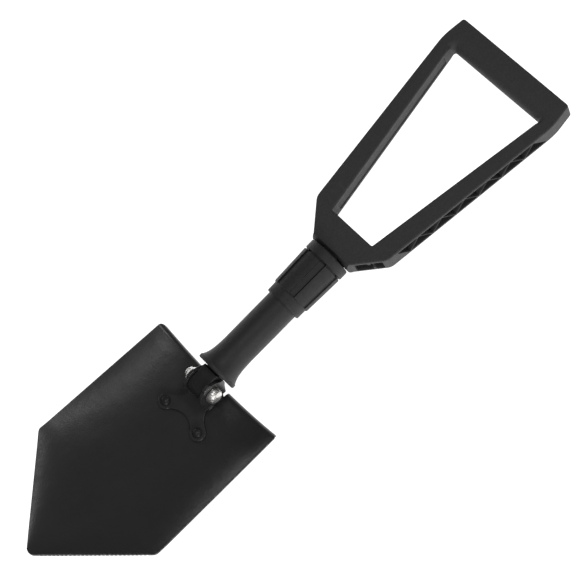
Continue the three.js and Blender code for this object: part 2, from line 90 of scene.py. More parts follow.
TREAD_START = 0.165  # share of the half width where the folded tread begins
TREAD_ROWS = 5
BEND_ROWS = 8
TOP_CORNER = 3.2
TIP_HALF_WIDTH = 2.6  # the last row of the grid is an arc this wide
TOOTH_PITCH = 3.7
TOOTH_DEPTH = 0.7

EAR_RADIUS = 13.0
EAR_THICKNESS = 3.0
LOCK_REACH = 15.0
BRACKET_THICKNESS = 2.5
BRACKET_TILT = 0.072
STRAP_END_X = 6.0
STRAP_HALF_WIDTH = 12.2
STRAP_NECK_X = -13.0
BACK_STRAP_END_X = 2.0
BACK_STRAP_HALF_WIDTH = 11.0
BACK_PLATE_THICKNESS = 2.0
RIVET_X = -33.6
RIVET_Y = 21.5
LOBE_RADIUS = 7.6
RIVET_HEAD_RADIUS = 4.6
RIVET_HEAD_HEIGHT = 2.9
RIVET_TAIL_HEIGHT = 1.8
RIVET_SHANK_RADIUS = 2.4

PIN_HOLE_RADIUS = 5.3
PIN_HEAD_RADIUS = 7.8
PIN_HEAD_HEIGHT = 7.6
PIN_TAIL_HEIGHT = 3.6
HANDLE_PIN_RADIUS = 4.0
HANDLE_PIN_HOLE_RADIUS = 4.3

LINK_WIDTH = 17.0
LINK_HEIGHT = 12.0
LINK_SHOULDER_X = 14.9
BLADE_EYE_RADIUS = 11.5
HANDLE_EYE_RADIUS = 7.0
EAR_GAP = 0.3
EAR_Y = LINK_WIDTH / 2 + EAR_GAP + EAR_THICKNESS / 2
EAR_OUTER_Y = EAR_Y + EAR_THICKNESS / 2

TUBE_LO, TUBE_HI = span("shaft_tube")
TUBE_RADIUS = 15.7
TUBE_BORE = 13.3
BELL_RADIUS = TUBE_HI.z
BELL_LIP = 4.0
BELL_WALL = 2.4
BELL_MOUTH = 17.2

COLLAR_LO, COLLAR_HI = span("locking_collar")
COLLAR_LARGE = COLLAR_HI.z
COLLAR_SMALL = 18.0
COLLAR_BORE = 16.0
COLLAR_RIBS = 7
RIB_ANGLE = math.radians(33)
RIB_PHASE = math.radians(22 + 180 / 7)  # middle of one rib, from +Z towards -Y
RIB_START = 109.0
RIB_END = 148.2
RIB_EDGE = 0.45
FLUTE_DEPTH = 1.4
GROOVE_WIDTH = 1.2
GROOVE_DEPTH = 1.5
SEAT_RADIUS = 17.4  # the thrust ring turns in this seat
SEAT_DEPTH = 5.7
THRUST_RING_RADIUS = 17.1
THRUST_RING_BORE = 11.2

FRAME_LO, FRAME_HI = span("handle_frame")
FRAME_HALF = (FRAME_HI.z - FRAME_LO.z) / 2
FRAME_EDGE = 1.5
SHOULDER_RADIUS = 16.0
NECK_HALF_WIDTH = 22.3
NECK_FOOT = (162.0, NECK_HALF_WIDTH)
FRAME_SHOULDER = (188.3, 45.4)
FRAME_CORNER = (370.5, 67.8)
GRIP_CORNER = (FRAME_HI.x, 64.8)
OPENING_START = (188.6, 25.4)
OPENING_SLOPE = 0.1653
GRIP_INNER_X = 367.5
GRIP_INSIDE = (GRIP_INNER_X,
               OPENING_START[1] + OPENING_SLOPE * (GRIP_INNER_X - OPENING_START[0]))
GRIP_ROUND = 11.5
FLANGE = 3.1
RIB = 2.4
POCKETS = 12
POCKET_DEPTH = 5.5
POCKET_ROUNDING = 0.7
POCKET_MARGIN = 9
CHANNEL_START = 7
CHANNEL_END = 170
CHANNEL_HALF = 6.2
CHANNEL_DEPTH = 0.9
CHANNEL_ROUNDING = 1.6
SLOT_HALF_WIDTH = 8.8
SLOT_TOP = 7.3

# ---- camera and studio

CAMERA_AIM = Vector((112.5, 4.4, 0))
CAMERA_DISTANCE = 1.774
CAMERA_ELEVATION = math.radians(67.1)
CAMERA_AZIMUTH = math.radians(-6.05)
CAMERA_ROLL = math.radians(-39.88)
LENS = 125.7


def add_camera():
    camera = new_object("camera", bpy.data.cameras.new("camera"))
    camera.data.lens = LENS
    camera.data.clip_end = 50
    aim = HINGE + CAMERA_AIM * MM
    flat = math.cos(CAMERA_ELEVATION)
    back = Vector((
        math.sin(CAMERA_AZIMUTH) * flat,
        -math.cos(CAMERA_AZIMUTH) * flat,
        math.sin(CAMERA_ELEVATION),
    ))
    upright = (-back).to_track_quat("-Z", "Y").to_matrix().to_4x4()
    rolled = upright @ Matrix.Rotation(CAMERA_ROLL, 4, "Z")
    camera.matrix_world = Matrix.Translation(aim + back * CAMERA_DISTANCE) @ rolled
    bpy.context.scene.camera = camera


def area_light(name, azimuth, elevation, distance, size, power):
    """Soft box aimed at the object. Azimuth 0 stands at -Y and 90 at +X, in degrees."""
    data = bpy.data.lights.new(name, "AREA")
    data.shape = "RECTANGLE"
    data.size, data.size_y = size
    data.energy = power
    light = new_object(name, data)
    a, e = math.radians(azimuth), math.radians(elevation)
    out = Vector((math.sin(a) * math.cos(e), -math.cos(a) * math.cos(e), math.sin(e)))
    light.location = out * distance
    light.rotation_mode = "QUATERNION"
    light.rotation_quaternion = out.to_track_quat("Z", "Y")


def add_studio():
    scene = bpy.context.scene
    scene.view_settings.view_transform = "Standard"
    world = bpy.data.worlds.new("studio")
    world.use_nodes = True
    world.node_tree.nodes["Background"].inputs["Color"].default_value = (1, 1, 1, 1)
    world.node_tree.nodes["Background"].inputs["Strength"].default_value = 0.12
    scene.world = world
    area_light("key", -25, 24, 2.6, (1.4, 0.5), 26)
    area_light("overhead", -42, 84, 2.2, (0.3, 0.11), 4.6)
    area_light("grip_side", 68, 62, 2.2, (0.4, 0.25), 6)
    area_light("back", 185, 22, 2.6, (1.6, 0.4), 6)

    bpy.ops.mesh.primitive_plane_add(size=8)
    floor = bpy.context.object
    floor.name = "floor"
    floor.data.materials.append(floor_material())


# ---- materials

class Nodes:
    """Short way to write a node tree."""

    def __init__(self, name):
        self.material = bpy.data.materials.new(name)
        self.material.use_nodes = True
        self.tree = self.material.node_tree
        self.shader = self.tree.nodes["Principled BSDF"]
        coordinates = self.tree.nodes.new("ShaderNodeTexCoord")
        self.position = coordinates.outputs["Object"]

    def add(self, kind, inputs=(), **settings):
        node = self.tree.nodes.new(kind)
        for key, value in settings.items():
            setattr(node, key, value)
        for key, value in dict(inputs).items():
            self.feed(node.inputs[key], value)
        return node

    def feed(self, socket, value):
        if isinstance(value, bpy.types.NodeSocket):
            self.tree.links.new(value, socket)
        else:
            socket.default_value = value

    def stretched(self, scale):
        node = self.add("ShaderNodeMapping", {"Vector": self.position, "Scale": scale})
        return node.outputs["Vector"]

    def noise(self, scale, detail=3.0, roughness=0.5, vector=None):
        node = self.add("ShaderNodeTexNoise", {
            "Vector": vector or self.position, "Scale": scale, "Detail": detail,
            "Roughness": roughness,
        })
        return node.outputs["Fac"]

    def cells(self, scale):
        node = self.add("ShaderNodeTexVoronoi", {"Vector": self.position, "Scale": scale})
        return node.outputs["Distance"]

    def ramp(self, value, low, high, start=0.0, end=1.0):
        node = self.add("ShaderNodeMapRange", {
            "Value": value, "From Min": low, "From Max": high, "To Min": start, "To Max": end,
        })
        return node.outputs["Result"]

    def maths(self, operation, first, second):
        node = self.add("ShaderNodeMath", operation=operation)
        self.feed(node.inputs[0], first)
        self.feed(node.inputs[1], second)
        return node.outputs["Value"]

    def mix(self, factor, first, second):
        node = self.add("ShaderNodeMix", data_type="RGBA")
        self.feed(node.inputs[0], factor)
        self.feed(node.inputs[6], first)
        self.feed(node.inputs[7], second)
        return node.outputs[2]

    def attribute(self, name):
        return self.add("ShaderNodeAttribute", attribute_name=name).outputs["Fac"]

    def bump(self, layers):
        """Layers of (height, depth in metres), one bump node on another."""
        normal = None
        for height, depth in layers:
            node = self.add("ShaderNodeBump", {"Height": height, "Distance": depth})
            if normal is not None:
                self.tree.links.new(normal, node.inputs["Normal"])
            normal = node.outputs["Normal"]
        self.feed(self.shader.inputs["Normal"], normal)

    def set(self, **values):
        for key, value in values.items():
            self.feed(self.shader.inputs[key.replace("_", " ")], value)
        return self.material


def grey(value):
    return (value, value, value, 1)


def floor_material():
    nodes = Nodes("pale_floor")
    tone = nodes.mix(nodes.noise(3.0), grey(0.93), grey(0.97))
    return nodes.set(Base_Color=tone, Roughness=0.9, Emission_Color=grey(1.0),
                     Emission_Strength=0.95)


def scratches(nodes, scale, across, amount):
    """Sparse hairlines: stretched noise, cut down to its thin peaks."""
    fine = nodes.noise(scale, 2.0, 0.5, nodes.stretched((1, across, across)))
    patch = nodes.noise(scale * 0.08, 2.0)
    lines = nodes.ramp(fine, 0.66, 0.72)
    sparse = nodes.maths("MULTIPLY", lines, nodes.ramp(patch, 0.5, 0.65))
    return nodes.maths("MULTIPLY", sparse, amount)


def blade_paint():
    """Near-black semi-gloss powder coat, with fine scuffs and rubbed edges."""
    nodes = Nodes("blade_paint")
    mottle = nodes.noise(28.0, 4.0, 0.6)
    base = nodes.mix(mottle, grey(0.0245), grey(0.0325))
    scuffs = scratches(nodes, 260.0, 0.06, 0.12)
    scuffed = nodes.mix(scuffs, base, grey(0.05))
    worn = nodes.maths("MULTIPLY", nodes.attribute("edge_wear"),
                       nodes.ramp(nodes.noise(420.0, 4.0, 0.7), 0.5, 0.62))
    colour = nodes.mix(worn, scuffed, grey(0.16))
    fog = nodes.ramp(nodes.noise(45.0, 5.0, 0.65), 0.3, 0.7, 0.27, 0.33)
    nodes.bump([
        (nodes.noise(700.0, 3.0, 0.55), 0.00006),
        (nodes.noise(60.0, 2.0), 0.00025),
        (scuffs, -0.00004),
    ])
    return nodes.set(Base_Color=colour, Roughness=nodes.maths("ADD", fog, scuffs),
                     Metallic=nodes.maths("MULTIPLY", worn, 0.6), Specular_IOR_Level=0.45)


def coated_steel(name, low, high, rough, grain):
    """Matt black coating on steel, with a fine pebble and a few rubbed spots."""
    nodes = Nodes(name)
    base = nodes.mix(nodes.noise(160.0, 5.0, 0.7), grey(low), grey(high))
    specks = nodes.ramp(nodes.noise(900.0, 3.0, 0.7), 0.55, 0.75, 0.0, 0.5)
    colour = nodes.mix(specks, base, grey(high * 2.2))
    nodes.bump([
        (nodes.noise(1400.0, 3.0, 0.6), grain),
        (nodes.noise(90.0, 2.0), 0.00008),
    ])
    roughness = nodes.ramp(nodes.noise(120.0, 4.0, 0.6), 0.3, 0.7, rough - 0.05, rough + 0.05)
    return nodes.set(Base_Color=colour, Roughness=roughness, Specular_IOR_Level=0.3)


def moulded_nylon(name, low, high, rough):
    """Spark-eroded grain, slight flow marks and the odd pale rub, with painted shade along the
    collar's rib walls where the mesh marks them.
    """
    nodes = Nodes(name)
    grain = nodes.noise(1100.0, 3.0, 0.7)
    base = nodes.mix(nodes.noise(130.0, 5.0, 0.7), grey(low), grey(high))
    speckled = nodes.mix(nodes.ramp(grain, 0.4, 0.7, 0.0, 0.7), base, grey(high * 1.7))
    rubs = scratches(nodes, 180.0, 0.1, 0.12)
    rubbed = nodes.mix(rubs, speckled, grey(high * 2.4))
    # painted shade: the marked rib walls of the collar are darkened to stand in for the shade at
    # the sides of the ribs
    colour = nodes.mix(nodes.attribute("rib_wall_shade"), rubbed, grey(low * 0.25))
    nodes.bump([
        (grain, 0.00021),
        (nodes.noise(35.0, 2.0), 0.00012),
    ])
    roughness = nodes.ramp(nodes.noise(150.0, 4.0, 0.6), 0.3, 0.7, rough - 0.05, rough + 0.05)
    return nodes.set(Base_Color=colour, Roughness=roughness, Specular_IOR_Level=0.35)


def bright_steel():
    """Zinc-plated steel with fine dents and patches of light tarnish."""
    nodes = Nodes("bright_steel")
    tarnish = nodes.ramp(nodes.noise(300.0, 5.0, 0.7), 0.4, 0.7)
    colour = nodes.mix(tarnish, (0.93, 0.92, 0.9, 1), (0.7, 0.69, 0.67, 1))
    nodes.bump([
        (nodes.cells(700.0), 0.00018),
        (nodes.noise(1500.0, 4.0, 0.7), 0.0001),
    ])
    roughness = nodes.ramp(nodes.noise(600.0, 4.0, 0.6), 0.3, 0.7, 0.3, 0.5)
    return nodes.set(Base_Color=colour, Metallic=1.0, Roughness=roughness)


# ---- meshes

def lerp(a, b, t):
    return a + (b - a) * t


def new_object(name, data):
    item = bpy.data.objects.new(name, data)
    bpy.context.scene.collection.objects.link(item)
    return item


def mesh_object(name, points, faces):
    mesh = bpy.data.meshes.new(name)
    mesh.from_pydata([tuple(point) for point in points], [], faces)
    mesh.validate()
    return new_object(name, mesh)


def tidy(piece):
    """Welds seams and turns every face outwards."""
    work = bmesh.new()
    work.from_mesh(piece.data)
    bmesh.ops.remove_doubles(work, verts=work.verts, dist=0.002)
    bmesh.ops.dissolve_degenerate(work, edges=work.edges, dist=0.001)
    bmesh.ops.recalc_face_normals(work, faces=work.faces)
    work.to_mesh(piece.data)
    work.free()
    return piece


def evaluated_mesh(item):
    """Mesh of an object with its curve drawn or its modifiers applied."""
    graph = bpy.context.evaluated_depsgraph_get()
    graph.update()
    return bpy.data.meshes.new_from_object(item.evaluated_get(graph))


def settle(piece):
    """Bakes the modifiers into the mesh."""
    mesh = evaluated_mesh(piece)
    piece.modifiers.clear()
    piece.data = mesh


def combine(piece, tool, operation):
    """Union with or cut by another object, which is used up."""
    modifier = piece.modifiers.new("combine", "BOOLEAN")
    modifier.operation = operation
    modifier.solver = "EXACT"
    modifier.object = tool
    settle(piece)
    bpy.data.objects.remove(tool)
    return piece


def corner_curve(before, corner, after, radius, steps=10):
    """Rounding of one corner of a path, cut back by the radius on both sides."""
    before, corner, after = Vector(before), Vector(corner), Vector(after)
    enter = corner + (before - corner).normalized() * radius
    leave = corner + (after - corner).normalized() * radius
    return [enter * (1 - t) ** 2 + corner * (2 * t * (1 - t)) + leave * t ** 2
            for t in np.linspace(0, 1, steps + 1)]


def rounded(corners, steps=8):
    """Closed outline of corners (x, y) or (x, y, radius), the second kind rounded off."""
    points = []
    for index, (x, y, *radius) in enumerate(corners):
        if radius:
            before, after = corners[index - 1][:2], corners[(index + 1) % len(corners)][:2]
            points += corner_curve(before, (x, y), after, radius[0], steps)
        else:
            points.append(Vector((x, y)))
    return points


def between_rings(rings, count, closed=True):
    """Quads that join rings of that many points, one after another and back to the first."""
    faces = []
    for ring in range(rings if closed else rings - 1):
        following = (ring + 1) % rings
        for step in range(count):
            after = (step + 1) % count
            faces.append((ring * count + step, ring * count + after,
                          following * count + after, following * count + step))
    return faces


def extruded(name, loops, thickness, edge, placing):
    """Flat plate of that thickness with rounded edges. Loops after the first are holes."""
    curve = bpy.data.curves.new(name, "CURVE")
    curve.dimensions = "2D"
    curve.fill_mode = "BOTH"
    curve.extrude = thickness / 2 - edge
    curve.bevel_depth = edge
    curve.bevel_resolution = 2
    curve.offset = -edge
    for loop in loops:
        spline = curve.splines.new("POLY")
        spline.points.add(len(loop) - 1)
        spline.use_cyclic_u = True
        for point, place in zip(spline.points, loop):
            point.co = (place[0], place[1], 0, 1)
    drawn = new_object(name + "_outline", curve)
    mesh = evaluated_mesh(drawn)
    bpy.data.objects.remove(drawn)
    mesh.transform(placing)
    return tidy(new_object(name, mesh))


def basis(x_axis, y_axis, centre):
    """Matrix that lays a plate's x and y along two directions, with its middle at centre."""
    x_axis, y_axis = Vector(x_axis), Vector(y_axis)
    turn = Matrix((x_axis, y_axis, x_axis.cross(y_axis))).transposed().to_4x4()
    return Matrix.Translation(Vector(centre)) @ turn


def side_plate(name, loops, thickness, edge, y):
    """Plate drawn in x and z, standing at that y."""
    return extruded(name, loops, thickness, edge, basis((1, 0, 0), (0, 0, 1), (0, y, 0)))


def lathe(name, profile, axis, centre=(0, 0, 0), segments=96):
    """Solid of revolution. The closed profile's points are (along the axis, radius)."""
    points = []
    for along, radius in profile:
        for step in range(segments):
            turn = 2 * math.pi * step / segments
            across = (radius * math.cos(turn), radius * math.sin(turn))
            if axis == "X":
                place = (along, *across)
            elif axis == "Y":
                place = (across[1], along, across[0])
            else:
                place = (*across, along)
            points.append(Vector(place) + Vector(centre))
    faces = between_rings(len(profile), segments)
    if profile[0][1] == 0 and profile[-1][1] == 0:
        faces = faces[:-segments]  # both ends lie on the axis
    return tidy(mesh_object(name, points, faces))


def dent(piece, depth, size, seed):
    """Pushes the surface about with smooth noise, as hammering or casting leaves it."""
    for vertex in piece.data.vertices:
        push = noise.noise(vertex.co / size + Vector((seed, 0, 0))) * depth
        vertex.co += vertex.normal * push


def rim_directions(work, edge):
    """For each point on the free edge: the way out of the sheet, and how far to round it."""
    rims = {}
    for vert in work.verts:
        borders = [spoke for spoke in vert.link_edges if spoke.is_boundary]
        if not borders:
            continue
        outward = Vector()
        for border in borders:
            along = border.verts[1].co - border.verts[0].co
            across = along.cross(border.link_faces[0].normal).normalized()
            inside = border.link_faces[0].calc_center_median() - vert.co
            outward += across if across.dot(inside) < 0 else -across
        room = min([spoke.calc_length() for spoke in vert.link_edges if spoke not in borders]
                   + [edge * 3])
        rims[vert.index] = (outward.normalized(), min(edge, room * 0.45))
    return rims


def thickened(name, points, faces, thickness, edge):
    """Sheet metal: the given face, a parallel one behind it, and rounded edges between."""
    work = bmesh.new()
    verts = [work.verts.new(point) for point in points]
    for face in faces:
        work.faces.new([verts[i] for i in face])
    work.normal_update()
    if sum(face.normal.z for face in work.faces) < 0:
        bmesh.ops.reverse_faces(work, faces=work.faces)
        work.normal_update()
    work.verts.index_update()
    front = [vert.co.copy() for vert in work.verts]
    normals = [vert.normal.copy() for vert in work.verts]
    count = len(front)
    back = [co - normal * thickness for co, normal in zip(front, normals)]
    all_points = front + back
    all_faces = [[vert.index for vert in face.verts] for face in work.faces]
    all_faces += [[count + i for i in reversed(face)] for face in all_faces]
    strips = {}
    turns = (math.pi / 6, math.pi / 3, math.pi / 2)
    for index, (outward, radius) in rim_directions(work, edge).items():
        co, normal = front[index], normals[index]
        profile = [(radius * (1 - math.sin(t)), radius * (1 - math.cos(t))) for t in turns]
        chain = [co - outward * inward - normal * down for inward, down in profile]
        chain += [co - outward * inward - normal * (thickness - down)
                  for inward, down in reversed(profile)]
        ids = [index, *range(len(all_points), len(all_points) + len(chain)), count + index]
        all_points += chain
        all_points[index] = co - outward * radius
        all_points[count + index] = back[index] - outward * radius
        strips[index] = ids
    for border in work.edges:
        if border.is_boundary:
            first, second = (strips[vert.index] for vert in border.verts)
            for step in range(len(first) - 1):
                all_faces.append([first[step], second[step], second[step + 1], first[step + 1]])
    work.free()
    return tidy(mesh_object(name, all_points, all_faces))


def finish(piece, material, body, slot, *nodes, smooth=35):
    """Moves a piece into the row frame, shades it and puts it in its CAD nodes' place."""
    piece.data.transform(Matrix.Translation(HINGE) @ Matrix.Scale(MM, 4))
    piece.data.materials.clear()
    piece.data.materials.append(material)
    piece.data.polygons.foreach_set("material_index", [0] * len(piece.data.polygons))
    piece.data.shade_smooth()
    piece.data.set_sharp_from_angle(angle=math.radians(smooth))
    weights = piece.modifiers.new("normals", "WEIGHTED_NORMAL")
    weights.keep_sharp = True
    settle(piece)
    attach(piece, body)
    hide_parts(*nodes)


# ---- blade

def soft_min(a, b, reach):
    """Smaller of two values, rounded where they meet."""
    return min(a, b) - max(reach - abs(a - b), 0) ** 2 / (4 * reach)


POINT_ANGLE = math.atan(LOWER_HALF_WIDTH / (BLADE_LENGTH - SHOULDER_LENGTH))
POINT_APEX = BLADE_LENGTH + POINT_RADIUS * (1 / math.sin(POINT_ANGLE) - 1)
POINT_START = BLADE_LENGTH - POINT_RADIUS * (1 - math.sin(POINT_ANGLE))


def straight_width(s, reach):
    """Half width from the straight edges alone, rounded over that reach at the lower corners."""
    upper = lerp(TOP_HALF_WIDTH, LOWER_HALF_WIDTH, s / SHOULDER_LENGTH)
    lower = LOWER_HALF_WIDTH * (POINT_APEX - s) / (POINT_APEX - SHOULDER_LENGTH)
    return soft_min(upper, lower, reach)


def half_width(s):
    """Half width of the blade at a distance from its top edge."""
    if s > POINT_START:
        return math.sqrt(max(0, POINT_RADIUS ** 2 - (s - BLADE_LENGTH + POINT_RADIUS) ** 2))
    return straight_width(s, CORNER_REACH)


def face_z(s, share):
    """Height of the hollow face. The shoulder corners are eased so that no crease runs inwards."""
    share *= half_width(s) / straight_width(s, EASED_REACH)
    middle = (CENTRE_DROP + POINT_RISE) * (s / BLADE_LENGTH) ** CENTRE_POWER - CENTRE_DROP
    if s < SHOULDER_LENGTH:
        edge = lerp(TOP_EDGE_Z, LOWER_EDGE_Z, s / SHOULDER_LENGTH)
    else:
        taper = (s - SHOULDER_LENGTH) / (BLADE_LENGTH - SHOULDER_LENGTH)
        edge = lerp(LOWER_EDGE_Z, POINT_RISE, taper)
    return lerp(middle, edge, abs(share) ** DISH_POWER)


def plate_x(s, share):
    """Place along the shovel. The top edge is slightly hollow, so the corners stand out."""
    fade = max(0, 1 - max(0, s - TREAD_RADIUS) / SHOULDER_LENGTH)
    return TOP_X - s + TOP_SAG * share ** 2 * fade


def tooth(s):
    """Depth of the fine saw teeth along the right lower edge."""
    start, end = SHOULDER_LENGTH + 4, POINT_START - 2
    if not start < s < end:
        return 0
    along = (s - start) / math.cos(POINT_ANGLE) / TOOTH_PITCH
    return TOOTH_DEPTH * (1 - abs(2 * (along % 1) - 1))


def blade_rows():
    """Distances from the top edge: the corner rounding, the body, and four rows to a tooth."""
    quarter_tooth = TOOTH_PITCH * math.cos(POINT_ANGLE) / 4
    rows = list(np.linspace(TREAD_RADIUS, SHOULDER_LENGTH - 4, 60))
    rows += list(np.linspace(SHOULDER_LENGTH - 3.4, SHOULDER_LENGTH + 3.4, 10))
    rows += list(np.arange(SHOULDER_LENGTH + 4, POINT_START - 2, quarter_tooth))
    tip = np.linspace(0, 0.33, 6) * math.pi / 2
    rows += list(POINT_START + (BLADE_LENGTH - POINT_START) * np.sin(tip))
    return rows + [BLADE_LENGTH]


def corner_width(depth, limit):
    """Half width with the top corner rounded off, at a depth behind the outermost edge."""
    left = max(0, TOP_CORNER - depth)
    return limit - TOP_CORNER + math.sqrt(TOP_CORNER ** 2 - left ** 2)


def tread_place(row, share):
    """Point of the folded top edge: its flat rows first, then the quarter turn of the bend."""
    turn = max(0, row - TREAD_ROWS) / BEND_ROWS * math.pi / 2
    depth = TREAD_RADIUS * (1 - math.cos(turn))
    x = plate_x(TREAD_RADIUS, share) + TREAD_RADIUS * math.cos(turn)
    y = share * corner_width(depth, half_width(TREAD_RADIUS))
    drop = TREAD_RADIUS * (1 - math.sin(turn))
    if row < TREAD_ROWS:
        drop = lerp(TREAD_DEPTH, TREAD_RADIUS, row / TREAD_ROWS)
    return (x, y, face_z(TREAD_RADIUS, share) - drop)


def sheet_place(s, share):
    """Point of the hollow face, with the round tip and the saw teeth."""
    y = share * corner_width(s, half_width(s))
    if s == BLADE_LENGTH:
        y = share * TIP_HALF_WIDTH
        s += math.sqrt(POINT_RADIUS ** 2 - y ** 2) - POINT_RADIUS
    if share < 0:
        y += tooth(s) * abs(share) ** 6
    return (plate_x(s, share), y, face_z(s, share))


def build_blade():
    rows = blade_rows()
    folded = TREAD_ROWS + BEND_ROWS
    inner = np.linspace(0, TREAD_START, 9)
    outer = 1 - (1 - TREAD_START) * np.linspace(1, 0, 37) ** 1.15
    half = list(inner) + list(outer[1:])
    shares = [-share for share in reversed(half[1:])] + half

    points, index = [], {}
    for row in range(folded + len(rows)):
        for column, share in enumerate(shares):
            if row < folded and abs(share) < TREAD_START - 1e-6:
                continue  # no tread behind the hinge
            index[row, column] = len(points)
            if row < folded:
                points.append(tread_place(row, share))
            else:
                points.append(sheet_place(rows[row - folded], share))
    faces = []
    for row in range(folded + len(rows) - 1):
        for column in range(len(shares) - 1):
            ring = [(row, column), (row, column + 1), (row + 1, column + 1), (row + 1, column)]
            if all(key in index for key in ring):
                faces.append([index[key] for key in ring])
    blade = thickened("blade_sheet", points, faces, BLADE_THICKNESS, RIM_ROUNDING)
    mark_edges(blade)
    finish(blade, MATERIALS["blade_paint"], "blade", "blade_paint", "blade")


def mark_edges(blade):
    """Wear attribute: 1 at the free edges of the plate, falling away over a millimetre."""
    values = []
    for vertex in blade.data.vertices:
        s = TOP_X - vertex.co.x
        inside = half_width(min(max(s, 0), BLADE_LENGTH)) - abs(vertex.co.y)
        values.append(min(1, max(0, 1 - inside / 1.2)) if s > TREAD_RADIUS + 2 else 0)
    wear = blade.data.attributes.new("edge_wear", "FLOAT", "POINT")
    wear.data.foreach_set("value", values)


# ---- hinge bracket and rivets

PLATE_BOTTOM = face_z(TREAD_RADIUS, 0) + 0.73


def arc(x, y, radius, start, end, steps):
    angles = [math.radians(lerp(start, end, step / steps)) for step in range(steps + 1)]
    return [(x + radius * math.cos(a), y + radius * math.sin(a)) for a in angles]


def quadratic(start, control, end, steps=10):
    """Inner points of a curve from start to end."""
    points = []
    for step in range(1, steps):
        t = step / steps
        points.append(tuple(
            a * (1 - t) ** 2 + b * 2 * t * (1 - t) + c * t ** 2
            for a, b, c in zip(start, control, end)))
    return points


def butterfly(strap_end, half):
    """Strap under the hinge that spreads into two round rivet lobes."""
    neck = STRAP_NECK_X
    left = arc(RIVET_X, RIVET_Y, LOBE_RADIUS, 40, 250, 28)
    right = arc(RIVET_X, -RIVET_Y, LOBE_RADIUS, 110, 320, 28)
    outline = [(strap_end, -half), (strap_end, half), (neck, half)]
    outline += quadratic((neck, half), (neck - 8, half), left[0]) + left
    outline += quadratic(left[-1], (RIVET_X + 9, 0), right[0], 16) + right
    outline += quadratic(right[-1], (neck - 8, -half), (neck, -half)) + [(neck, -half)]
    return outline


def tilted(top_x, middle_z):
    """Plate position that follows the rise of the blade away from the hinge."""
    return (Matrix.Translation((top_x, 0, middle_z)) @ Matrix.Rotation(BRACKET_TILT, 4, "Y")
            @ Matrix.Translation((-top_x, 0, 0)))


def pin_hole(x, radius):
    """Round hole for a hinge pin, as an inner loop."""
    return arc(x, 0, radius, 0, 352.5, 47)[::-1]


def ear_outline():
    """Round ear with a straight root and two lock noses, one towards the tube and one up."""
    nose = 3.5
    root = -CENTRE_DROP + BRACKET_THICKNESS + 0.6
    side = math.sqrt(EAR_RADIUS ** 2 - nose ** 2)
    return rounded([
        (-EAR_RADIUS, root + 0.7), (EAR_RADIUS - 3, root - 0.6), (EAR_RADIUS, -8, 2.5),
        (LOCK_REACH, -nose, 1), (LOCK_REACH, nose, 1), (side, nose + 1, 0.6), (9.4, 9.4, 3.5),
        (nose + 1, side, 0.6), (nose, LOCK_REACH, 1), (-nose, LOCK_REACH, 1),
        (-nose - 1, side, 0.6), (-9.4, 9.4, 3.5), (-EAR_RADIUS, nose + 1, 2),
    ])


def bend_fillet(y, outward):
    """Inside radius of the fold between the bracket plate and one ear."""
    radius = 2.2
    root = PLATE_BOTTOM + BRACKET_THICKNESS - 0.3
    section = [(0, 0), (radius, 0)]
    section += [(radius - radius * math.sin(t), radius - radius * math.cos(t))
                for t in np.linspace(0.1, math.pi / 2, 8)]
    points = []
    for x, rise in ((-EAR_RADIUS + 1, 0.9), (STRAP_END_X - 1, -0.1)):
        points += [(x, y + outward * (a - 0.3), root + rise + b - 0.3) for a, b in section]
    count = len(section)
    faces = between_rings(2, count, closed=False)
    faces += [tuple(range(count))[::-1], tuple(range(count, 2 * count))]
    return tidy(mesh_object("bend", points, faces))


def build_bracket():
    plate = extruded("hinge_bracket_pressing", [butterfly(STRAP_END_X, STRAP_HALF_WIDTH)],
                     BRACKET_THICKNESS, 0.7,
                     tilted(STRAP_END_X, PLATE_BOTTOM + BRACKET_THICKNESS / 2))
    loops = [ear_outline(), pin_hole(0, PIN_HOLE_RADIUS)]
    for side in (1, -1):
        ear = side_plate("ear", loops, EAR_THICKNESS, 0.6, side * EAR_Y)
        combine(plate, ear, "UNION")
        combine(plate, bend_fillet(side * EAR_OUTER_Y, side), "UNION")
    finish(plate, MATERIALS["blade_paint"], "blade", "blade_paint", "hinge_bracket")

    top = face_z(BACK_STRAP_END_X, 0) - BLADE_THICKNESS - 0.8
    outline = butterfly(BACK_STRAP_END_X, BACK_STRAP_HALF_WIDTH)
    back = extruded("hinge_back_plate_pressing", [outline], BACK_PLATE_THICKNESS, 0.6,
                    tilted(BACK_STRAP_END_X, top - BACK_PLATE_THICKNESS / 2))
    finish(back, MATERIALS["blade_paint"], "blade", "blade_paint", "hinge_back_plate")


def build_rivets():
    """Domed heads, uneven where the tool struck, and peened tails."""
    shank = RIVET_SHANK_RADIUS
    for name, side in (("rivet_left", 1), ("rivet_right", -1)):
        low, high = span(name)
        middle = (low + high) / 2
        head, tail = high.z - RIVET_HEAD_HEIGHT, low.z + RIVET_TAIL_HEIGHT
        profile = [(low.z, 0), (low.z, shank), (low.z + 0.6, 3.6), (tail, 4.2),
                   (tail + 0.3, 3.9), (tail + 0.4, shank), (head - 0.1, shank),
                   (head - 0.1, RIVET_HEAD_RADIUS - 0.1)]
        profile += [(head + RIVET_HEAD_HEIGHT * math.sin(t), RIVET_HEAD_RADIUS * math.cos(t) ** 0.8)
                    for t in np.linspace(0, math.pi / 2 - 0.05, 10)]
        profile.append((high.z, 0))
        rivet = lathe(name + "_dome", profile, "Z", (middle.x, middle.y, 0), 40)
        dent(rivet, 0.18, 1.6, side * 7)
        finish(rivet, MATERIALS["dark_steel"], "blade", "dark_steel", name, smooth=50)


# ---- blade pin

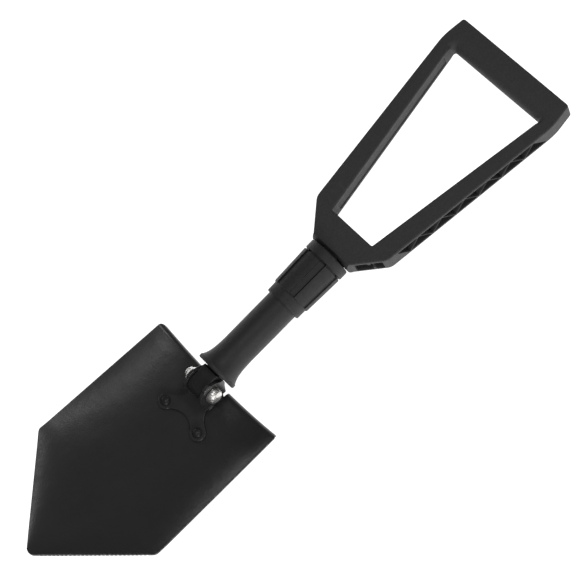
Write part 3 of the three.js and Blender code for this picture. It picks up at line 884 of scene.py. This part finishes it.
def build_blade_pin():
    low, high = span("blade_pin")
    base = low.y + PIN_HEAD_HEIGHT
    dome = [(base - PIN_HEAD_HEIGHT * math.sin(t) ** 0.9, PIN_HEAD_RADIUS * math.cos(t) ** 0.62)
            for t in np.linspace(math.pi / 2 - 0.04, 0.25, 18)]
    rim = [(base - 0.5, PIN_HEAD_RADIUS), (base, PIN_HEAD_RADIUS - 0.4), (base, 5)]
    head = [(low.y, 0)] + dome + rim
    tail_start = high.y - PIN_TAIL_HEIGHT
    tail = [(tail_start, 4.7), (tail_start + 0.2, 5), (tail_start + 1.4, 4.9),
            (high.y - 1.2, 3.8), (high.y - 0.4, 2.4), (high.y, 0)]
    pin = lathe("blade_pin_forged", head + tail, "Y", segments=64)
    dent(pin, 0.3, 2.2, 3)
    finish(pin, MATERIALS["bright_steel"], "blade", "bright_steel", "blade_pin", smooth=60)

    low, high = span("blade_pin_washer")
    hole = PIN_HOLE_RADIUS
    profile = [(low.y, hole), (low.y, 7.3), (low.y + 0.4, 7.6), (low.y + 2.4, 7.5),
               (low.y + 3.6, 6.9), (low.y + 4.6, 6), (high.y - 0.1, 5.7), (high.y, hole)]
    washer = lathe("blade_pin_washer_cup", profile, "Y", segments=64)
    dent(washer, 0.25, 2.2, 11)
    finish(washer, MATERIALS["bright_steel"], "blade", "bright_steel", "blade_pin_washer",
           smooth=50)


# ---- link bar, tube, bushes

def build_link():
    half = LINK_HEIGHT / 2
    handle_half = math.degrees(math.asin(half / HANDLE_EYE_RADIUS))
    neck = LINK_SHOULDER_X - 1.9
    top = [(LINK_SHOULDER_X, half)] + quadratic(
        (LINK_SHOULDER_X, half), (LINK_SHOULDER_X, BLADE_EYE_RADIUS), (neck, BLADE_EYE_RADIUS))
    outline = top + arc(0, 0, BLADE_EYE_RADIUS, 90, 270, 40)
    outline += [(x, -z) for x, z in reversed(top)]
    outline += arc(HANDLE_HINGE_X, 0, HANDLE_EYE_RADIUS, handle_half - 180, 180 - handle_half, 32)
    holes = [pin_hole(0, PIN_HOLE_RADIUS), pin_hole(HANDLE_HINGE_X, HANDLE_PIN_HOLE_RADIUS)]
    link = side_plate("link_bar_forging", [outline] + holes, LINK_WIDTH, 0.8, 0)
    finish(link, MATERIALS["dark_steel"], "shaft", "dark_steel", "link_bar")


def flare_radius(run):
    """Radius of the bell at a distance behind its lip."""
    return TUBE_RADIUS - 0.3 + (BELL_RADIUS - 0.5 - TUBE_RADIUS) * math.exp(-run / 7)


def build_tube():
    mouth, end = TUBE_LO.x, TUBE_HI.x
    lip = mouth + BELL_LIP
    runs = [25 * (step / 24) ** 1.3 for step in range(25)]
    outside = [(mouth, BELL_MOUTH + 0.4), (mouth, BELL_RADIUS - 1.1),
               (mouth + 0.3, BELL_RADIUS - 0.4), (mouth + 0.9, BELL_RADIUS),
               (lip - 0.7, BELL_RADIUS), (lip - 0.1, BELL_RADIUS - 0.35)]
    outside += [(lip + run, flare_radius(run)) for run in runs]
    outside += [(x, TUBE_RADIUS - 0.1) for x in (60, 80, 100, 120, 138)]
    outside += [(end - 1, TUBE_RADIUS), (end - 0.3, TUBE_RADIUS - 0.3), (end, TUBE_RADIUS - 1)]
    inside = [(lip + run, max(TUBE_BORE, flare_radius(run) - BELL_WALL))
              for run in reversed(runs[6:])]
    profile = outside + [(end, TUBE_BORE)] + inside
    profile += [(lip, BELL_MOUTH), (mouth + 0.4, BELL_MOUTH)]
    tube = lathe("shaft_tube_drawn", profile, "X", segments=128)
    finish(tube, MATERIALS["tube_paint"], "shaft", "tube_paint", "shaft_tube")


def build_bush(node, radius):
    """Round bush with a slot for the link bar."""
    low, high = span(node)
    half_y, half_z = LINK_WIDTH / 2 + EAR_GAP, LINK_HEIGHT / 2 + EAR_GAP
    hole = rounded([(-half_y, half_z, 1), (half_y, half_z, 1), (half_y, -half_z, 1),
                    (-half_y, -half_z, 1)], 4)
    middle = ((low.x + high.x) / 2, 0, 0)
    bush = extruded(node + "_moulding", [arc(0, 0, radius, 0, 356.25, 95), hole],
                    high.x - low.x, 0.5, basis((0, 1, 0), (0, 0, 1), middle))
    finish(bush, MATERIALS["dark_steel"], "shaft", "dark_steel", node)


# ---- collar and thrust ring

def collar_radius(x):
    """Outer radius of the collar with its ribs whole."""
    if x < RIB_START - 1:
        return COLLAR_SMALL + 0.2
    return lerp(COLLAR_SMALL + 1.5, COLLAR_LARGE - 0.1, (x - RIB_START) / (RIB_END - RIB_START))


def collar_stations(start, end):
    """Stations along the axis: (x, radius on the ribs, share of the flutes' depth)."""
    stations = [(start, COLLAR_BORE + 0.5, 0), (start, COLLAR_SMALL - 0.8, 0),
                (start + 0.3, COLLAR_SMALL - 0.1, 0), (start + 0.9, COLLAR_SMALL + 0.1, 0)]
    stations += [(x, COLLAR_SMALL + 0.2, 0) for x in np.linspace(start + 2, RIB_START - 1, 5)]
    stations += [(RIB_START - 0.5, COLLAR_SMALL + 0.25, 0),
                 (RIB_START, COLLAR_SMALL + 0.9, 0.1),
                 (RIB_START + 0.5, collar_radius(RIB_START) - 0.1, 0.7)]
    for x in np.linspace(RIB_START + 1, RIB_END - 0.6, 24):
        stations.append((x, collar_radius(x), 1))
    groove_end = RIB_END + GROOVE_WIDTH
    stations += [(RIB_END - 0.1, COLLAR_LARGE - 0.5, 1),
                 (RIB_END + 0.1, COLLAR_LARGE - GROOVE_DEPTH, 1),
                 (groove_end - 0.1, COLLAR_LARGE - GROOVE_DEPTH, 1),
                 (groove_end + 0.1, COLLAR_LARGE - 0.4, 0),
                 (groove_end + 0.6, COLLAR_LARGE, 0)]
    stations += [(x, COLLAR_LARGE, 0) for x in np.linspace(RIB_END + 3, end - 1.2, 5)]
    return stations + [(end - 0.4, COLLAR_LARGE - 0.3, 0), (end, COLLAR_LARGE - 1, 0)]


def collar_turns():
    """Places round the axis: (angle, 0 on a rib to 1 in a flute)."""
    turns = []
    half_rib = RIB_ANGLE / 2
    step = 2 * math.pi / COLLAR_RIBS
    fade = RIB_EDGE / COLLAR_LARGE
    for rib in range(COLLAR_RIBS):
        middle = RIB_PHASE + rib * step
        turns += [(middle + t, 0.0) for t in np.linspace(-half_rib + fade, half_rib - fade, 9)]
        turns += [(middle + half_rib - 0.3 * fade, 0.15), (middle + half_rib + 0.3 * fade, 0.85)]
        gap = step - RIB_ANGLE
        turns += [(middle + half_rib + t, 1.0) for t in np.linspace(fade, gap - fade, 6)]
        turns += [(middle + half_rib + gap - 0.3 * fade, 0.85),
                  (middle + half_rib + gap + 0.3 * fade, 0.15)]
    return turns


def build_collar():
    start, end = COLLAR_LO.x, COLLAR_HI.x
    stations, turns = collar_stations(start, end), collar_turns()
    floor = end - SEAT_DEPTH
    bore = [(end, SEAT_RADIUS), (floor + 0.3, SEAT_RADIUS), (floor, SEAT_RADIUS - 0.3),
            (floor, COLLAR_BORE + 0.2), (floor - 0.5, COLLAR_BORE), (start + 0.5, COLLAR_BORE)]
    rings = [[(x, radius - FLUTE_DEPTH * cut * flute, turn) for turn, flute in turns]
             for x, radius, cut in stations]
    rings += [[(x, radius, turn) for turn, _ in turns] for x, radius in bore]
    points = [(x, -radius * math.sin(turn), radius * math.cos(turn))
              for ring in rings for x, radius, turn in ring]
    collar = mesh_object("locking_collar_moulding", points, between_rings(len(rings), len(turns)))
    # Painted shade: the vertices on the rib walls are marked, so that the collar's colour darkens
    # there in place of the shade at the sides of the ribs.
    dark = [1.0 if cut > 0.5 and 0 < flute < 1 else 0.0
            for _, _, cut in stations for _, flute in turns]
    rib_wall_shade = collar.data.attributes.new("rib_wall_shade", "FLOAT", "POINT")
    rib_wall_shade.data.foreach_set("value", dark + [0.0] * (len(points) - len(dark)))
    tidy(collar)
    finish(collar, MATERIALS["collar_nylon"], "collar", "collar_nylon", "locking_collar",
           smooth=30)


def build_thrust_ring():
    low, high = span("thrust_ring")
    inner, outer = THRUST_RING_BORE, THRUST_RING_RADIUS
    profile = [(low.x, inner + 0.3), (low.x, outer - 0.4), (low.x + 0.4, outer),
               (high.x - 0.5, outer), (high.x, outer - 0.5), (high.x, inner + 0.5),
               (high.x - 0.5, inner), (low.x + 0.3, inner)]
    ring = lathe("thrust_ring_turned", profile, "X")
    finish(ring, MATERIALS["dark_steel"], "ring", "dark_steel", "thrust_ring")


# ---- handle frame

def resample(points, count):
    """The same path with count + 1 evenly spaced points."""
    points = [Vector(point) for point in points]
    lengths = np.cumsum([0] + [(b - a).length for a, b in zip(points, points[1:])])
    targets = np.linspace(0, lengths[-1], count + 1)
    xs = np.interp(targets, lengths, [point.x for point in points])
    ys = np.interp(targets, lengths, [point.y for point in points])
    return [Vector(pair) for pair in zip(xs, ys)]


def frame_half():
    """Matching inner and outer points from the middle of the neck to the middle of the grip,
    each with the share of the grip's round inner edge."""
    foot_x = HANDLE_HINGE_X - SHOULDER_RADIUS - 9
    neck_inner = corner_curve((OPENING_START[0], 0), OPENING_START, GRIP_INSIDE, 1.5)
    grip_corner = corner_curve(OPENING_START, GRIP_INSIDE, (GRIP_INNER_X, 0), 5)
    foot = corner_curve((foot_x, NECK_HALF_WIDTH), NECK_FOOT, FRAME_SHOULDER, 1.5)
    shoulder = corner_curve(NECK_FOOT, FRAME_SHOULDER, FRAME_CORNER, 3.5)
    outer_corner = corner_curve(FRAME_SHOULDER, FRAME_CORNER, GRIP_CORNER, 8)
    outer_tip = corner_curve(FRAME_CORNER, GRIP_CORNER, (GRIP_CORNER[0], 0), 3)

    flank = foot[-1:] + resample([foot[-1], shoulder[0]], 8)[1:] + shoulder[1:]
    outer_end = outer_corner + resample([outer_corner[-1], outer_tip[0]], 6)[1:] + outer_tip[1:]
    root = Vector((OPENING_START[0], NECK_HALF_WIDTH - 5))
    parts = [
        (resample([(OPENING_START[0], 0), root], 6),
         resample([(foot_x, 0), (foot_x, NECK_HALF_WIDTH)], 6), 0, 0),
        (resample([root, neck_inner[0]], len(foot)), [Vector((foot_x, NECK_HALF_WIDTH))] + foot,
         0, 0),
        (resample(neck_inner, len(flank) - 1), flank, 0, 0),
        (resample([neck_inner[-1], grip_corner[0]], 24),
         resample([flank[-1], outer_end[0]], 24), 0, 0),
        (resample(grip_corner, len(outer_end) - 1), outer_end, 0, 1),
        (resample([grip_corner[-1], (GRIP_INNER_X, 0)], 10),
         resample([outer_end[-1], (GRIP_CORNER[0], 0)], 10), 1, 1),
    ]
    stations = []
    for inner, outer, start, end in parts:
        for step in range(1 if stations else 0, len(inner)):
            share = lerp(start, end, step / (len(inner) - 1))
            stations.append((inner[step], outer[step], share * share * (3 - 2 * share)))
    return stations


def outline_normals(points):
    """Directions square to a closed path, to its left."""
    normals = []
    for index in range(len(points)):
        along = points[(index + 1) % len(points)] - points[index - 1]
        normals.append(Vector((-along.y, along.x)).normalized())
    return normals


def frame_blank():
    """The closed frame before its neck, slot, bore and pockets are cut."""
    half = frame_half()
    mirror = [(Vector((inner.x, -inner.y)), Vector((outer.x, -outer.y)), share)
              for inner, outer, share in reversed(half[1:-1])]
    stations = half + mirror
    inner_out = outline_normals([station[0] for station in stations])
    outer_out = outline_normals([station[1] for station in stations])
    points = []
    arcs = np.linspace(0, math.pi / 2, 9)
    for (inner, outer, grip), to_inner, to_outer in zip(stations, inner_out, outer_out):
        inner_run = lerp(FRAME_EDGE, GRIP_ROUND, grip)
        inner_rise = lerp(FRAME_EDGE, FRAME_HALF - 0.2, grip)
        upper = []
        for t in arcs:  # inner wall up on to the top face
            place = inner + to_inner * inner_run * (1 - math.cos(t))
            upper.append((place, FRAME_HALF - inner_rise * (1 - math.sin(t))))
        start, end = upper[-1][0], outer - to_outer * FRAME_EDGE
        for t in (0.25, 0.5, 0.75):
            upper.append((start.lerp(end, t), FRAME_HALF))
        for t in arcs[::-1]:  # over the outer edge and down
            place = outer - to_outer * FRAME_EDGE * (1 - math.cos(t))
            upper.append((place, FRAME_HALF - FRAME_EDGE * (1 - math.sin(t))))
        ring = [(place.x, place.y, z) for place, z in upper]
        ring += [(place.x, place.y, -z) for place, z in reversed(upper)]
        points.append(ring)
    flat = [point for ring in points for point in ring]
    faces = between_rings(len(points), len(points[0]))
    return tidy(mesh_object("handle_frame_moulding", flat, faces))


# mouth, flared lip, draft and rounded floor: (share of the depth, growth of the outline)
POCKET_LEVELS = [(0.25, 0.35), (0.004, 0.35), (-0.03, 0.1), (-0.07, 0.0), (-0.88, -0.25),
                 (-0.97, -0.4), (-1.0, -0.65)]


def pocket(corners, radius, depth, start, end):
    """Cutter for one moulded pocket in the wall that runs from start to end, on the -Y side:
    flared lip, slight draft and rounded floor. Corners are (along the wall, height)."""
    start, end = Vector((*start, 0)), Vector((*end, 0))
    along = (end - start).normalized()
    out = along.cross(Vector((0, 0, 1)))
    corners = [Vector(corner) for corner in corners]
    area = sum(a.x * b.y - b.x * a.y for a, b in zip(corners, corners[1:] + corners[:1]))
    if area < 0:
        corners.reverse()
    arcs = []
    for index, corner in enumerate(corners):
        back = (corners[index - 1] - corner).normalized()
        ahead = (corners[(index + 1) % len(corners)] - corner).normalized()
        opening = back.angle(ahead)
        centre = corner + (back + ahead).normalized() * radius / math.sin(opening / 2)
        arcs.append((centre, math.atan2(back.x, -back.y), math.pi - opening))
    points = []
    steps = 4
    for distance, grow in POCKET_LEVELS:
        for centre, angle, turn in arcs:
            for step in range(steps + 1):
                a = angle + turn * step / steps
                place = centre + Vector((math.cos(a), math.sin(a))) * max(0.05, radius + grow)
                height = Vector((0, 0, place.y))
                points.append(start + along * place.x + height + out * distance * depth)
    count = (steps + 1) * len(arcs)
    faces = between_rings(len(POCKET_LEVELS), count, closed=False)
    faces += [tuple(range(count)), tuple(range(len(points) - count, len(points)))]
    return points, faces


def wall_pockets():
    """Every pocket of the -Y side: zig-zag truss along the arm and two in the neck, and the
    shallow channel on the inner wall of the opposite arm."""
    foot, shoulder, corner = [(x, -y) for x, y in (NECK_FOOT, FRAME_SHOULDER, FRAME_CORNER)]
    height = FRAME_HALF - FLANGE
    length = (Vector(corner) - Vector(shoulder)).length
    pitch = (length - 2 * POCKET_MARGIN) / (POCKETS + 1)
    reach = pitch - RIB / 2
    cutters = []
    for index in range(POCKETS):
        middle = POCKET_MARGIN + pitch * (index + 1)
        base = height if index % 2 == 0 else -height
        triangle = [(middle - reach, base), (middle + reach, base), (middle, -base)]
        cutters.append(pocket(triangle, POCKET_ROUNDING, POCKET_DEPTH, shoulder, corner))
    for quad in ([(5, -height), (20.5, -height), (16, height), (5, height)],
                 [(23, -height), (30, -height), (30, height), (18.5, height)]):
        cutters.append(pocket(quad, POCKET_ROUNDING, POCKET_DEPTH, foot, shoulder))
    channel = [(CHANNEL_START, -CHANNEL_HALF), (CHANNEL_END, -CHANNEL_HALF),
               (CHANNEL_END, CHANNEL_HALF), (CHANNEL_START, CHANNEL_HALF)]
    cutters.append(pocket(channel, CHANNEL_ROUNDING, CHANNEL_DEPTH, OPENING_START, GRIP_INSIDE))
    return cutters


def pocket_cutter():
    """All the pockets of both sides as one mesh."""
    points, faces = [], []
    for some_points, some_faces in wall_pockets():
        for side in (1, -1):
            base = len(points)
            points += [(p[0], p[1] * side, p[2]) for p in some_points]
            faces += [tuple(base + i for i in face) for face in some_faces]
    return tidy(mesh_object("pockets", points, faces))


def block(x0, x1, y0, y1, z0, z1):
    """Box between two planes on each axis."""
    points = [(x, y, z) for x in (x0, x1) for y in (y0, y1) for z in (z0, z1)]
    faces = [(0, 1, 3, 2), (4, 6, 7, 5), (0, 4, 5, 1), (2, 3, 7, 6), (0, 2, 6, 4), (1, 5, 7, 3)]
    return tidy(mesh_object("block", points, faces))


def hinge_rod(name, half_length, radius, segments):
    """Plain cylinder along the handle hinge, to cut with."""
    profile = [(-half_length, 0), (-half_length, radius), (half_length, radius), (half_length, 0)]
    return lathe(name, profile, "Y", (HANDLE_HINGE_X, 0, 0), segments)


def build_frame():
    handle = frame_blank()
    far = FRAME_HALF + 2
    start = HANDLE_HINGE_X - SHOULDER_RADIUS - 12
    end = block(start, HANDLE_HINGE_X, -60, 60, -far, far)
    barrel = hinge_rod("barrel", 70, SHOULDER_RADIUS, 160)
    combine(handle, combine(end, barrel, "DIFFERENCE"), "DIFFERENCE")
    slot = block(start, OPENING_START[0] + 3, -SLOT_HALF_WIDTH, SLOT_HALF_WIDTH, -far, SLOT_TOP)
    combine(handle, slot, "DIFFERENCE")
    combine(handle, hinge_rod("bore", 60, HANDLE_PIN_HOLE_RADIUS, 48), "DIFFERENCE")
    combine(handle, pocket_cutter(), "DIFFERENCE")
    tidy(handle)
    finish(handle, MATERIALS["frame_nylon"], "handle", "frame_nylon", "handle_frame", smooth=32)


def build_handle_pin():
    low, _ = span("handle_pin")
    half = [(low.y, 0), (low.y, 3.2), (low.y + 0.3, 3.7), (low.y + 0.9, HANDLE_PIN_RADIUS)]
    other_half = [(-along, radius) for along, radius in reversed(half)]
    pin = lathe("handle_pin_turned", half + other_half, "Y", (HANDLE_HINGE_X, 0, 0), 48)
    finish(pin, MATERIALS["bright_steel"], "handle", "bright_steel", "handle_pin")


# ---- everything

MATERIALS = {
    "blade_paint": blade_paint(),
    "dark_steel": coated_steel("dark_steel", 0.016, 0.022, 0.36, 0.00004),
    "tube_paint": coated_steel("tube_paint", 0.023, 0.031, 0.5, 0.00010),
    "frame_nylon": moulded_nylon("frame_nylon", 0.033, 0.039, 0.6),
    "collar_nylon": moulded_nylon("collar_nylon", 0.016, 0.022, 0.56),
    "bright_steel": bright_steel(),
}

add_camera()
add_studio()
build_blade()
build_bracket()
build_rivets()
build_blade_pin()
build_link()
build_tube()
build_bush("blade_end_bush", BELL_MOUTH - 0.3)
build_bush("handle_end_bush", TUBE_BORE - 0.3)
build_collar()
build_thrust_ring()
build_frame()
build_handle_pin()
